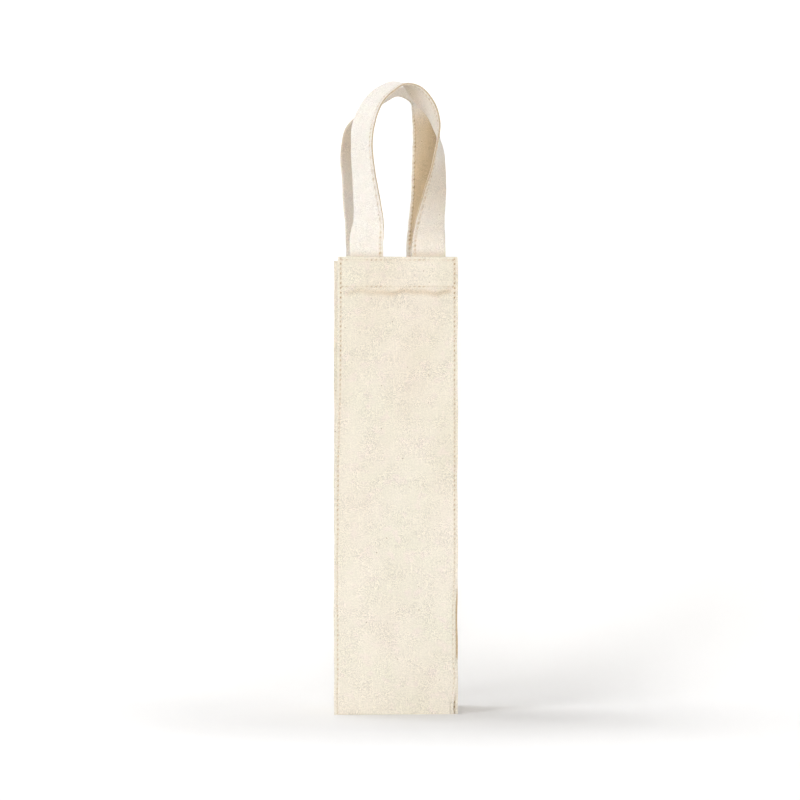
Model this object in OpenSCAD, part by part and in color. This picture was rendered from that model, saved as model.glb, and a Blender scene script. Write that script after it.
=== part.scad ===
// Cotton canvas bottle tote: two panels, two folding gussets, a folding base and two strap handles.
// Millimetres. X points right, Y to the back and Z up. The origin is in the middle of the base's underside.
// The front half is modelled, and the back half is the same turned half a turn about Z, with its own loop.

/* [Bag] */
// Width of the front and back panels
panel_width = 100; // [90:1:140]
// Height from the base to the fold of the hem
bag_height = 380; // [320:5:440]
// Depth of the open bag, from the front panel's face to the back panel's
bag_depth = 80; // [60:1:84]
// Thickness of one layer of canvas
cloth = 0.8; // [0.5:0.1:1]
// Depth of the hem that is turned in round the mouth
hem_depth = 27.5; // [20:0.5:40]

/* [Seams] */
// Width of the pinched ridge along each upright seam
ridge_width = 3; // [2:0.5:5]
// Height of the base's seam allowance behind the front and back panels
base_allowance = 8; // [5:0.5:12]
// Distance of a row of stitches from the edge beside it
stitch_inset = 2.7; // [2:0.1:4]
// Width of a row of thread
thread_width = 0.6; // [0.4:0.1:0.8]
// Length left without thread on each side of a gusset's middle crease
crease_margin = 5; // [4:0.5:8]

/* [Handles] */
// Width of the handle strap
strap_width = 28; // [22:1:32]
// Thickness of the handle strap, which is canvas folded on itself
strap_thickness = 2; // [1.5:0.1:3]
// Distance between the middles of a handle's two legs at the hem
leg_spacing = 51.8; // [48:0.2:60]
// Height of the front handle above the hem
handle_rise = 142.5; // [110:0.5:180]
// Length of each strap end that is sewn inside the hem
tail_depth = 22; // [15:0.5:26]
// Height of the line above the hem where a handle bends
bend_rise = 6; // [4:0.5:10]
// Angle at which a handle leans out
handle_lean = 7; // [6:0.5:15]

/* [Fold] */
// Angle through which each half of a gusset and of the base folds in
fold_angle = 84; // [70:1:85]
// Gap left in the cloth at a fold line
fold_gap = 0.3; // [0.2:0.1:0.5]
// Clearance kept between folded pieces
fold_clearance = 0.3; // [0.2:0.1:0.6]

/* [Hidden] */

canvas_colour = [0.93, 0.89, 0.81];
thread_colour = [0.96, 0.94, 0.88];

// Faces of the front half, counted from the outside to the inside of the bag
panel_y = -bag_depth / 2;
hem_y = panel_y + cloth;
strap_y = panel_y + 2 * cloth;
strap_back_y = strap_y + strap_thickness;

// Fold lines: the front one stands clear of the strap ends, so that a gusset folds over them
fold_y = strap_back_y + fold_clearance;
fold_run = -fold_y;
gusset_x = panel_width / 2 - ridge_width;
fold_x = gusset_x - 2 * cloth;
inner_x = gusset_x - cloth;

// The base narrows inwards, so that its halves fold up between the gussets
wedge_run = cloth * tan(fold_angle);
cut_start_x = fold_x - wedge_run * sin(fold_angle) + cloth * cos(fold_angle) - fold_clearance;
cut_end_x = fold_x - fold_run * sin(fold_angle) + cloth * cos(fold_angle) - fold_clearance;
cut_run = fold_run - wedge_run;

hem_low_z = bag_height - hem_depth;
bend_z = bag_height + bend_rise;
strap_mid_y = strap_y + strap_thickness / 2;
round_steps = 32;

// Routes of the two handles from their left roots to their right ones, each seen from its own side of the bag.
// Each row holds the place across as a share of half the leg spacing, the height as a share of the loop's rise,
// and the twist as a share of a quarter turn.
front_route_shares = [
    [-1.00, 0.000, 0.00],
    [-1.00, 0.050, 0.06],
    [-0.94, 0.172, 0.33],
    [-1.01, 0.321, 0.49],
    [-1.11, 0.475, 0.57],
    [-1.17, 0.619, 0.61],
    [-1.13, 0.743, 0.58],
    [-0.92, 0.857, 0.64],
    [-0.60, 0.940, 0.71],
    [-0.15, 0.993, 0.81],
    [0.21, 0.998, 0.98],
    [0.53, 0.959, 1.19],
    [0.83, 0.897, 1.22],
    [1.08, 0.826, 1.15],
    [1.22, 0.741, 1.06],
    [1.31, 0.608, 0.82],
    [1.28, 0.476, 0.68],
    [1.17, 0.326, 0.49],
    [1.04, 0.171, 0.32],
    [1.00, 0.050, 0.06],
    [1.00, 0.000, 0.00]
];
back_route_shares = [
    [-1.00, 0.000, 0.00],
    [-1.00, 0.050, 0.04],
    [-1.04, 0.170, 0.22],
    [-1.11, 0.326, 0.31],
    [-1.14, 0.477, 0.34],
    [-1.15, 0.617, 0.37],
    [-1.15, 0.747, 0.43],
    [-1.07, 0.874, 0.53],
    [-0.84, 0.994, 0.74],
    [-0.27, 1.036, 0.89],
    [0.23, 1.001, 0.85],
    [0.52, 0.965, 0.83],
    [0.80, 0.904, 0.74],
    [0.99, 0.833, 0.67],
    [1.22, 0.749, 0.49],
    [1.33, 0.610, 0.49],
    [1.32, 0.473, 0.55],
    [1.25, 0.319, 0.50],
    [1.10, 0.160, 0.34],
    [1.00, 0.050, 0.06],
    [1.00, 0.000, 0.00]
];
steps_per_row = 3;
loop_rise = handle_rise - bend_rise - fold_gap / 2 - strap_thickness / 2;
last_row = len(front_route_shares) - 1;
last_ring = last_row * steps_per_row;

// Section of the strap: flat faces and rounded edges
edge_round = strap_thickness / 2;
strap_section = concat(
    [for (a = [-90:60:90]) [strap_width / 2 - edge_round + edge_round * cos(a), edge_round * sin(a)]],
    [for (a = [90:60:270]) [-strap_width / 2 + edge_round + edge_round * cos(a), edge_round * sin(a)]]
);
section_points = len(strap_section);

// Smooth curve through four values, at share t of the way from b to c
function through(a, b, c, d, t) =
    b + (c - a) * t / 2 + (2 * a - 5 * b + 4 * c - d) * t * t / 2 + (3 * b - a - 3 * c + d) * t * t * t / 2;

// Row of the route, carried on below the roots by the mirror of the row beside them
function row(route, i) =
    i < 0 ? 2 * route[0] - route[1]
    : i > last_row ? 2 * route[last_row] - route[last_row - 1]
    : route[i];

function place(route, ring) =
    let (i = min(floor(ring / steps_per_row), last_row - 1), t = ring / steps_per_row - i)
    through(row(route, i - 1), row(route, i), row(route, i + 1), row(route, i + 2), t);

function unit(v) = v / norm(v);

function centre(route, ring) =
    let (p = place(route, ring), up = p[1] * loop_rise)
    [p[0] * leg_spacing / 2, strap_mid_y - up * tan(handle_lean), bend_z + fold_gap / 2 + up];

function heading(route, ring) =
    ring == 0 ? [0, 0, 1]
    : ring == last_ring ? [0, 0, -1]
    : unit(centre(route, ring + 1) - centre(route, ring - 1));

// Points of the strap's surface round one ring
function ring_points(route, ring) =
    let (
        ahead = heading(route, ring),
        twist = place(route, ring)[2] * 90,
        back = unit([0, 1, 0] - ahead[1] * ahead),
        out = cross(ahead, back),
        face = sin(twist) * out - cos(twist) * back,
        across = cross(ahead, face)
    )
    [for (p = strap_section) centre(route, ring) + p[0] * across + p[1] * face];

// A sheet whose top edge is turned in as a hem, in section: inwards along x, upwards along y
module hemmed_section(bottom_z) {
    translate([0, bottom_z])
        square([cloth, bag_height - cloth - bottom_z]);
    translate([cloth, hem_low_z])
        square([cloth, hem_depth - cloth]);
    translate([cloth, bag_height - cloth])
        circle(r = cloth, $fn = round_steps);
}

// Raised half of a row of thread, lying along Z on a face that looks to -Y
module thread_row(length) {
    linear_extrude(height = length)
        intersection() {
            circle(d = thread_width, $fn = round_steps);
            translate([-thread_width / 2, -thread_width])
                square(thread_width);
        }
}

module panel() {
    color(canvas_colour) {
        translate([-inner_x, panel_y, 0])
            rotate([90, 0, 90])
                linear_extrude(height = 2 * inner_x)
                    hemmed_section(0);
        for (side = [-1, 1])
            translate([side < 0 ? -panel_width / 2 : inner_x, panel_y, 0])
                cube([panel_width / 2 - inner_x, cloth, bag_height]);
    }
}

// Margin of a gusset that is pinched to the front panel's left edge, with the cloth up to its fold line
module seam_margin() {
    color(canvas_colour) {
        translate([-panel_width / 2, hem_y, 0])
            cube([ridge_width + cloth, cloth, bag_height]);
        translate([-gusset_x, hem_y, 0])
            cube([cloth, fold_y - fold_gap / 2 - hem_y, bag_height]);
        translate([-inner_x, strap_y, hem_low_z])
            cube([cloth, fold_y - fold_gap / 2 - strap_y, hem_depth]);
    }
}

// Front half of the left gusset, from its fold line to the middle crease
module gusset_half() {
    color(canvas_colour)
        translate([-gusset_x, -fold_gap / 2, 0])
            rotate([90, 0, 0])
                linear_extrude(height = fold_run - fold_gap)
                    hemmed_section(cloth + fold_gap);
}

// Front half of the base, narrowing towards the middle crease
module base_half() {
    color(canvas_colour)
        linear_extrude(height = cloth)
            polygon([
                [-cut_start_x, fold_y + fold_gap / 2],
                [cut_start_x, fold_y + fold_gap / 2],
                [cut_end_x, fold_y + cut_run],
                [cut_end_x, -fold_gap / 2],
                [-cut_end_x, -fold_gap / 2],
                [-cut_end_x, fold_y + cut_run]
            ]);
}

// Left side of the base, which tucks in when the bag folds
module gore() {
    color(canvas_colour)
        linear_extrude(height = cloth)
            polygon([
                [-gusset_x, fold_y + fold_gap / 2],
                [-cut_start_x - fold_gap, fold_y + fold_gap / 2],
                [-cut_end_x - fold_gap, fold_y + cut_run],
                [-cut_end_x - fold_gap, -fold_y - cut_run],
                [-cut_start_x - fold_gap, -fold_y - fold_gap / 2],
                [-gusset_x, -fold_y - fold_gap / 2]
            ]);
}

// Base's seam allowance behind the front panel, with the cloth up to its fold line
module base_seam() {
    color(canvas_colour) {
        translate([-inner_x, hem_y, 0])
            cube([2 * inner_x, cloth, base_allowance]);
        translate([-inner_x, hem_y, 0])
            cube([2 * inner_x, fold_y - fold_gap / 2 - hem_y, cloth]);
    }
}

// Both ends of the front strap, flat against the inside of the hem
module handle_tails() {
    color(canvas_colour)
        for (side = [-1, 1])
            translate([side * leg_spacing / 2, strap_mid_y, bag_height - tail_depth])
                linear_extrude(height = tail_depth + bend_rise - fold_gap / 2)
                    polygon(strap_section);
}

// The front strap above its bend line: it stands flat on the hem and twists over into a loop
module handle_loop(route) {
    n = section_points;
    points = [for (ring = [0:last_ring]) each ring_points(route, ring)];
    sides = [
        for (ring = [0:last_ring - 1], k = [0:n - 1])
            let (a = ring * n + k, b = ring * n + (k + 1) % n)
            each [[a, b, b + n], [a, b + n, a + n]]
    ];
    start = [[for (k = [n - 1:-1:0]) k]];
    end = [[for (k = [0:n - 1]) last_ring * n + k]];
    color(canvas_colour)
        polyhedron(points = points, faces = concat(start, sides, end), convexity = 6);
}

module edge_stitches() {
    color(thread_colour)
        for (side = [-1, 1])
            translate([side * (panel_width / 2 - stitch_inset), panel_y, 0])
                thread_row(bag_height - stitch_inset);
}

// Rows along the top and the lower edge of the hem, between the two edge rows
module hem_stitches() {
    half_row = panel_width / 2 - stitch_inset - thread_width;
    color(thread_colour)
        for (z = [bag_height - stitch_inset, hem_low_z + stitch_inset])
            translate([-half_row, panel_y, z])
                rotate([0, 90, 0])
                    thread_row(2 * half_row);
}

// Hem rows on the outer face of the left gusset's front half
module gusset_stitches() {
    row_length = fold_run - fold_gap - crease_margin;
    color(thread_colour)
        for (z = [bag_height - stitch_inset, hem_low_z + stitch_inset])
            translate([-gusset_x, fold_y + fold_gap / 2, z])
                rotate([0, 90, 90])
                    mirror([0, 1, 0])
                        thread_row(row_length);
}

module turned() {
    rotate([0, 0, 180])
        children();
}

module mirrored() {
    mirror([1, 0, 0])
        children();
}

panel();  // front_panel
turned() panel();  // back_panel
gusset_half();  // left_gusset_front
turned() mirrored() gusset_half();  // left_gusset_back
mirrored() gusset_half();  // right_gusset_front
turned() gusset_half();  // right_gusset_back
seam_margin();  // left_front_seam
turned() mirrored() seam_margin();  // left_back_seam
mirrored() seam_margin();  // right_front_seam
turned() seam_margin();  // right_back_seam
base_half();  // base_front
turned() base_half();  // base_back
gore();  // base_left_gore
turned() gore();  // base_right_gore
base_seam();  // base_front_seam
turned() base_seam();  // base_back_seam
handle_loop(front_route_shares);  // front_handle
turned() handle_loop(back_route_shares);  // back_handle
handle_tails();  // front_handle_tails
turned() handle_tails();  // back_handle_tails
edge_stitches();  // front_edge_stitches
turned() edge_stitches();  // back_edge_stitches
hem_stitches();  // front_hem_stitches
turned() hem_stitches();  // back_hem_stitches
gusset_stitches();  // left_gusset_front_stitches
turned() mirrored() gusset_stitches();  // left_gusset_back_stitches
mirrored() gusset_stitches();  // right_gusset_front_stitches
turned() gusset_stitches();  // right_gusset_back_stitches
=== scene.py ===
"""Canvas bottle tote, open and empty, on a white sweep. Lengths in the making are millimetres, and meshes are
metres."""

import functools
import math

import bpy
import numpy as np
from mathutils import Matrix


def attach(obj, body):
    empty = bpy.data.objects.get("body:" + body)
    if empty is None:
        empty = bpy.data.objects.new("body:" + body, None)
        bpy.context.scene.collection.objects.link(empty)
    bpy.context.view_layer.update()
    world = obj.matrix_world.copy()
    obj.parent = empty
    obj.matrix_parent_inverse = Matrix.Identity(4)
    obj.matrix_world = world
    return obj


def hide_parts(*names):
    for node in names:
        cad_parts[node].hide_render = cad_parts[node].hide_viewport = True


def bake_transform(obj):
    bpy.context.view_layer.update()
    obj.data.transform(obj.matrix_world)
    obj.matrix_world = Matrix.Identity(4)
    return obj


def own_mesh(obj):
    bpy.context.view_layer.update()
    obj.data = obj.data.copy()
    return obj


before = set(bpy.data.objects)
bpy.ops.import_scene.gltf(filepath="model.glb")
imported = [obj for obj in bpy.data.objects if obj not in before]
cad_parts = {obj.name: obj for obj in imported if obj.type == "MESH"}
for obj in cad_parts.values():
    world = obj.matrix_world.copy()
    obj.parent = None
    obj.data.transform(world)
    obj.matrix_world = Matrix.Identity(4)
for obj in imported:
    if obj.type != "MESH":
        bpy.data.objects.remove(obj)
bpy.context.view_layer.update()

MM = 0.001

# Sizes of the bag, as the frame has them: the body and its cloth,
WIDTH, HEIGHT, DEPTH, CLOTH = 100.0, 380.0, 80.0, 0.8
# the hem's depth, the pinched ridge, the base's allowance, and a row of stitches' distance from an edge
HEM, RIDGE, ALLOWANCE, INSET = 27.5, 3.0, 8.0, 2.7
# the straps, the distance between a handle's two legs, and how far each end goes down inside the hem
STRAP_WIDTH, STRAP_THICK, LEG_SPACING, TAIL = 28.0, 2.0, 51.8, 22.0
# a loop's rise over the hem, the height over it where a handle bends, and the loops' lean in degrees
RISE, BEND_RISE, LEAN = 142.5, 6.0, 7.0
# the gap at a fold line, the room beside a strap, the fold in degrees, and the bare cloth beside a crease
FOLD_GAP, CLEARANCE, FOLD_ANGLE, CREASE_MARGIN = 0.3, 0.3, 84.0, 5.0

# Where things are: middles of the layers' thickness, fold lines, the hem's lower edge, and rows of stitches
PANEL_MID = -DEPTH / 2 + CLOTH / 2
MARGIN_MID = PANEL_MID + CLOTH
STRAP_MID = -DEPTH / 2 + 2 * CLOTH + STRAP_THICK / 2
FOLD_Y = -DEPTH / 2 + 2 * CLOTH + STRAP_THICK + CLEARANCE
GUSSET_X = WIDTH / 2 - RIDGE
GUSSET_MID = GUSSET_X - CLOTH / 2
FOLD_X = GUSSET_X - 2 * CLOTH
HEM_LOW = HEIGHT - HEM
BEND = HEIGHT + BEND_RISE
ROW_X = WIDTH / 2 - INSET
HEM_ROWS = (HEIGHT - INSET, HEM_LOW + INSET)
PITCH = 4.0
# A hem's cloth: the height at which it turns in, the way round its half circle, and the cut length
TURN_IN = HEIGHT - CLOTH
HALF_ROUND = np.pi * CLOTH / 2
HEM_CUT = TURN_IN + HALF_ROUND + HEM - CLOTH
# Bends: a corner's radius, and a fold line's roll with its step, radius, length and thinner cloth
CORNER, HEEL, ROLL_THIN = 0.7, 0.06, 0.88
ROLL = 1.5 * CLOTH - HEEL
ROLL_RUN = np.radians(FOLD_ANGLE - 6) * ROLL
# Where the panels' billow and the gussets' sag begin, how far they grow over, and the fade above the hem
BILLOW_FROM, BILLOW_OVER, SAG_FROM, SAG_OVER, FADE_OVER = 31, 5, 38, 6, 22
# The waves' phase on the back panel and on the right gusset, where the front's lifted corner begins, and how
# far a row draws a gusset in
BACK_PHASE, RIGHT_PHASE, LIFT_FROM, GUSSET_DRAW = 2.4, 1.7, 43, 0.14
HANDS = {-1: "left", 1: "right"}
HALVES = ("front", "back")

# Each handle's way: across as a share of half the leg spacing, height as a share of the loop's rise, and
# twist as a share of a quarter turn. The back handle's is as it lies before the back half's half turn.
FRONT_ROUTE = np.array([
    (-1.00, 0.000, 0.00), (-1.00, 0.050, 0.06), (-0.94, 0.172, 0.33),
    (-1.01, 0.321, 0.49), (-1.11, 0.475, 0.57), (-1.17, 0.619, 0.61),
    (-1.13, 0.743, 0.58), (-0.92, 0.857, 0.64), (-0.60, 0.940, 0.71),
    (-0.15, 0.993, 0.81), (0.21, 0.998, 0.98), (0.53, 0.959, 1.19),
    (0.83, 0.897, 1.22), (1.08, 0.826, 1.15), (1.22, 0.741, 1.06),
    (1.31, 0.608, 0.82), (1.28, 0.476, 0.68), (1.17, 0.326, 0.49),
    (1.04, 0.171, 0.32), (1.00, 0.050, 0.06), (1.00, 0.000, 0.00),
])
BACK_ROUTE = np.array([
    (-1.00, 0.000, 0.00), (-1.00, 0.050, 0.04), (-1.04, 0.170, 0.22),
    (-1.11, 0.326, 0.31), (-1.14, 0.477, 0.34), (-1.15, 0.617, 0.37),
    (-1.15, 0.747, 0.43), (-1.07, 0.874, 0.53), (-0.84, 0.994, 0.74),
    (-0.27, 1.036, 0.89), (0.23, 1.001, 0.85), (0.52, 0.965, 0.83),
    (0.80, 0.904, 0.74), (0.99, 0.833, 0.67), (1.22, 0.749, 0.49),
    (1.33, 0.610, 0.49), (1.32, 0.473, 0.55), (1.25, 0.319, 0.50),
    (1.10, 0.160, 0.34), (1.00, 0.050, 0.06), (1.00, 0.000, 0.00),
])


def smooth(t):
    """0 below 0, 1 above 1, and an even S between."""
    t = np.clip(t, 0.0, 1.0)
    return t * t * (3 - 2 * t)


def bump(d, width):
    """1 where d is 0, falling away as a bell of that width."""
    return np.exp(-((d / width) ** 2))


def joined(*parts):
    """Points from their coordinates: numbers and arrays of shapes that fit, joined along a new last axis."""
    return np.stack(np.broadcast_arrays(*parts), -1)


def crossed(u, v):
    """Two grids, of u and of v, at every pair of a mark of u and a mark of v."""
    return np.meshgrid(u, v, indexing="ij")


def marks(low, high, step, dense=()):
    """Places from low to high, step apart, closer in each dense stretch (from, to, step), and closest at both
    ends, where a sheet's edge is rounded."""
    plain = np.linspace(low, high, max(3, int(round((high - low) / step)) + 1))
    kept = np.ones(len(plain), bool)
    extra = []
    for a, b, s in list(dense) + [(low, low + 0.5, 0), (high - 0.5, high, 0)]:
        kept &= (plain < a - 0.3 * step) | (plain > b + 0.3 * step)
        if s:
            extra.append(np.linspace(a, b, max(2, int(round((b - a) / s)) + 1)))
    inner = np.concatenate([plain[kept]] + extra)
    inner = inner[(inner > low + 0.45) & (inner < high - 0.45)]
    edge = np.array([0.0, 0.07, 0.2, 0.4])
    return np.unique(np.concatenate([low + edge, inner, high - edge]))


def rounded(u, v):
    """Half the cloth's thickness over a grid of marks: full inside, a half circle's height at each edge."""
    def side(w):
        """The share of it at each mark: a quarter circle up from either end."""
        d = np.minimum(w - w[0], w[-1] - w) / (CLOTH / 2)
        return np.sqrt(np.clip(1 - (1 - np.clip(d, 0, 1)) ** 2, 0.04, 1))
    return CLOTH / 2 * np.minimum(side(u)[:, None], side(v)[None, :])


# How the cloth lies


def billow(x, z, turn):
    """How far a panel stands out: a sum of low sine waves and one slanting crease that fade at the ridges and
    the base, the roll of the hem, a hollow under it, and a step over each strap's end."""
    free = np.clip(1 - np.abs(x / 46.5) ** 3, 0, 1)
    waves = (
        0.90 * np.sin(z / 52 + x / 70 + 1.3 * turn)
        + 0.62 * np.sin(z / 27 - x / 33 + 0.7 + 2.1 * turn)
        + 0.52 * np.sin(x / 15 + z / 120 + 2.0 + turn)
        + 0.26 * np.sin(z / 13 + x / 9 + 0.4 * turn)
        + 0.80 * bump(x + 0.45 * z - 42 + 6 * turn, 9) * bump(z - 55, 38)
    )
    body = waves * free * smooth(z / 45) * (1 - 0.55 * smooth((z - HEM_LOW + 22.5) / 25))
    roll = 0.38 * smooth((z - HEM_ROWS[1]) / 5) * smooth((HEM_ROWS[0] - z) / 4)
    uneven = 1 + 0.35 * np.sin(x / 6.3 + turn) + 0.25 * np.sin(x / 2.9 + 1 + 2 * turn)
    hollow = -0.85 * uneven * smooth((HEM_LOW + 1.5 - z) / 3.2) * smooth((z - HEM_LOW + 17) / 13)
    tails = 0.0
    for leg in HANDS:
        d = np.abs(x - leg * LEG_SPACING / 2) - STRAP_WIDTH / 2
        tails += 0.42 * smooth((0.8 - d) / 1.8) * smooth((z - HEIGHT + TAIL + 1) / 2)
    return body + (roll + hollow + tails) * smooth((GUSSET_X - np.abs(x)) / RIDGE)


def needle(along):
    """1 at each needle hole of a row in the bag's body, and 0 half way between two."""
    return 0.5 + 0.5 * np.cos(2 * np.pi * along / PITCH + np.pi)


def pinch(x, z):
    """The cloth drawn in along each row of stitches: a shallow bell across the row, and a narrower one that a
    cosine along it deepens at each needle hole."""
    def row(across, along):
        """How far one row draws the cloth in."""
        return -(0.16 * bump(across, 1.3) + 0.24 * needle(along) ** 3 * bump(across, 0.75))
    total = 0.0
    for side in HANDS:
        total += row(x - side * ROW_X, z)
    for level in HEM_ROWS:
        total += row(z - level, x) * (np.abs(x) < ROW_X)
    return total


def spread(x, z):
    """How much further out the front panel's left side lies towards the base, as the photograph shows."""
    return -2.7 * smooth((-x - 15) / 32) * smooth((320 - z) / 170)


def gusset_sag(y, z, phase):
    """How far a gusset sinks into the bag: a shallow V to its middle crease, with slow waves, above the
    height that the folded base comes up to."""
    share = np.clip(1 - np.abs(y) / -FOLD_Y, 0, 1)
    depth = 2.0 + 0.7 * np.sin(z / 75 + phase) + 0.3 * np.sin(z / 31 + 2 * phase)
    waves = 0.5 * np.sin(np.abs(y) / 9 + z / 44 + 2 * phase) * np.sin(np.pi * share)
    return (depth * share ** 1.15 + waves) * smooth((z + FOLD_Y - 2) / 45)


def lie(points):
    """Every point of the bag moved as its cloth lies. The panels' billow fades through the depth behind
    them, and the gussets' sag through the width beside them, so layers that touch still touch. The ridges
    ripple, and the middle of the base stands a little off the ground."""
    x, y, z = points[..., 0], points[..., 1], points[..., 2]
    level = np.minimum(z, HEIGHT)
    below = 1 - smooth((z - HEIGHT) / FADE_OVER)
    front = smooth((-y - BILLOW_FROM) / BILLOW_OVER) * below
    back = smooth((y - BILLOW_FROM) / BILLOW_OVER) * below
    dy = -billow(x, level, 0.0) * front + billow(-x, level, BACK_PHASE) * back
    left = smooth((-x - SAG_FROM) / SAG_OVER) * below
    right = smooth((x - SAG_FROM) / SAG_OVER) * below
    dx = gusset_sag(y, level, 0.0) * left - gusset_sag(y, level, RIGHT_PHASE) * right
    ridge = smooth((np.abs(x) - GUSSET_X) / RIDGE)
    ripple = 0.22 * np.sin(z / 17 + 0.8 * np.sign(x) + np.sign(y))
    ripple += 0.16 * np.sin(z / 6.1 + 1.9 * np.sign(x * y))
    dx += ripple * ridge * smooth(z / 12)
    share = np.clip(1 - np.abs(y) / -FOLD_Y, 0, 1)
    dz = 0.9 * share * (1 - smooth((z - 2) / 12))
    return points + joined(dx, dy, dz)


def turned(points, back):
    """The same points, turned half a turn about Z for the back half."""
    return points * np.array([-1.0, -1.0, 1.0]) if back else points


# Meshes


def in_scene(name, data):
    """A new object for a mesh, a lamp or a camera, put in the scene."""
    item = bpy.data.objects.new(name, data)
    bpy.context.scene.collection.objects.link(item)
    return item


def quads(ids, after):
    """The faces between each row of point numbers and the next, with each number's neighbour in after."""
    return joined(ids[:-1], ids[1:], after[1:], after[:-1]).reshape(-1, 4)


class Cloth:
    """The points, faces, flat places and shade of a piece that is put together from grids."""

    def __init__(self):
        self.points, self.faces, self.flat, self.shade, self.count = [], [], [], [], 0

    def add(self, points, faces, flat, shade):
        """More points and faces, with each point's place on the flat cloth and its painted shade: 0 is cream,
        1 tan and 2 dark brown."""
        self.points.append(points.reshape(-1, 3))
        self.faces.append(faces + self.count)
        self.flat.append(flat.reshape(-1, 2))
        self.shade.append(shade.reshape(-1))
        self.count += points.reshape(-1, 3).shape[0]

    def shell(self, mid, half, flat, shade):
        """A closed sheet: each point of the middle grid moved half the thickness both ways along the grid's
        own normal, which is the cross product of its two directions, with rims round the edge. Its shade is
        one for each face, a grid or a number."""
        normal = np.cross(np.gradient(mid, axis=0), np.gradient(mid, axis=1))
        normal /= np.linalg.norm(normal, axis=-1, keepdims=True) + 1e-12
        rows, cols = mid.shape[:2]
        n = rows * cols
        ids = np.arange(n).reshape(rows, cols)
        top = quads(ids[:, :-1], ids[:, 1:])
        loop = np.concatenate([ids[:-1, 0], ids[-1, :-1], ids[:0:-1, -1], ids[0, :0:-1]])
        nxt = np.roll(loop, -1)
        rim = joined(nxt, loop, loop + n, nxt + n)
        faces = np.concatenate([top, top[:, ::-1] + n, rim])
        points = np.stack([mid + normal * half[..., None], mid - normal * half[..., None]])
        both = np.stack([flat, flat + np.array([0.5, 0.0])])
        self.add(points, faces, both, np.stack([np.broadcast_to(s, half.shape) for s in shade]))

    def tube(self, rings, flat, shade):
        """A closed tube through rings of points, with a flat cap at both ends."""
        rows, cols = rings.shape[:2]
        ids = np.arange(rows * cols).reshape(rows, cols)
        after = np.roll(ids, -1, axis=1)
        side = joined(ids[:-1], after[:-1], after[1:], ids[1:]).reshape(-1, 4)
        k = np.arange(cols // 2 - 1)
        caps = []
        for row, flip in ((ids[0], True), (ids[-1], False)):
            cap = joined(row[k], row[k + 1], row[cols - 2 - k], row[cols - 1 - k])
            caps.append(cap[:, ::-1] if flip else cap)
        self.add(rings, np.concatenate([side] + caps), flat, shade)

    def build(self, name, material):
        """The piece itself, in metres, with its flat places as a UV map and its shade as an attribute."""
        points = np.concatenate(self.points) * MM
        faces = np.concatenate(self.faces)
        flat = np.concatenate(self.flat)
        mesh = bpy.data.meshes.new(name)
        mesh.vertices.add(len(points))
        mesh.vertices.foreach_set("co", points.astype(np.float32).ravel())
        mesh.loops.add(faces.size)
        mesh.loops.foreach_set("vertex_index", faces.astype(np.int32).ravel())
        mesh.polygons.add(len(faces))
        mesh.polygons.foreach_set("loop_start", np.arange(0, faces.size, 4, dtype=np.int32))
        mesh.update(calc_edges=True)
        mesh.polygons.foreach_set("use_smooth", np.ones(len(faces), bool))
        layer = mesh.uv_layers.new(name="flat")
        layer.data.foreach_set("uv", flat[faces.ravel()].astype(np.float32).ravel())
        tone = mesh.attributes.new("shade", "FLOAT", "POINT")
        tone.data.foreach_set("value", np.concatenate(self.shade).astype(np.float32))
        mesh.validate()
        mesh.materials.append(material)
        return in_scene(name, mesh)


def hem_path(v):
    """Height and inward step of a sheet whose top is turned in, at distance v along it: straight up, round a
    half circle as wide as two layers, and down again."""
    radius = CLOTH / 2
    a = np.clip((v - TURN_IN) / radius, 0, np.pi)
    up = np.where(v < TURN_IN, v, TURN_IN + radius * np.sin(a))
    up = np.where(v > TURN_IN + HALF_ROUND, TURN_IN - (v - TURN_IN - HALF_ROUND), up)
    return up, radius * (1 - np.cos(a))


def rolled_marks(step, crease):
    """Marks across a strip that folds, from round one fold line to round the other: close together at both,
    and for the width crease on each side of its middle."""
    low, high, fine = -ROLL_RUN, ROLL_RUN - 2 * FOLD_Y, 0.3
    return marks(low, high, step, [(low + 0.5, 0.4, fine), (-2 * FOLD_Y - 0.4, high - 0.5, fine),
                                   (-FOLD_Y - crease, -FOLD_Y + crease, 0.4)])


def rolled(run):
    """Depth, step inward and bend in radians of a strip that folds, at distance run across it: straight from
    one fold line to the other, and round an arc past each, so that no gap opens there when it folds."""
    straight = -2 * FOLD_Y
    near = np.clip(-run / ROLL, 0, None)
    far = np.clip((run - straight) / ROLL, 0, None)
    bent = np.maximum(near, far)
    y = FOLD_Y + np.clip(run, 0, straight) - ROLL * np.sin(near) + ROLL * np.sin(far)
    step = np.where(bent > 0, HEEL, 0.0) + ROLL * (1 - np.cos(bent))
    return y, step, bent


# Materials


def feed(tree, node, inputs):
    """A node's inputs, each set to a value or linked to the socket that feeds it."""
    for key, value in inputs.items():
        if isinstance(value, bpy.types.NodeSocket):
            tree.links.new(value, node.inputs[key])
        else:
            node.inputs[key].default_value = value


def wire(tree, kind, inputs=None, **settings):
    """A shader node of that kind, with its settings and inputs."""
    node = tree.nodes.new("ShaderNode" + kind)
    for key, value in settings.items():
        setattr(node, key, value)
    feed(tree, node, inputs or {})
    return node


def calc(tree, operation, a, b=0.0, c=0.0):
    """One sum on numbers or sockets."""
    return wire(tree, "Math", {0: a, 1: b, 2: c}, operation=operation).outputs[0]


def ramp(tree, value, low, high):
    """0 at low, 1 at high, in an even S between."""
    return wire(tree, "MapRange", {"Value": value, "From Min": low, "From Max": high},
                interpolation_type="SMOOTHSTEP", clamp=True).outputs[0]


def noise(tree, vector, scale, detail=2.0, roughness=0.5):
    """Soft noise of that many waves a metre."""
    inputs = {"Vector": vector, "Scale": scale, "Detail": detail, "Roughness": roughness}
    return wire(tree, "TexNoise", inputs).outputs[0]


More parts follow.
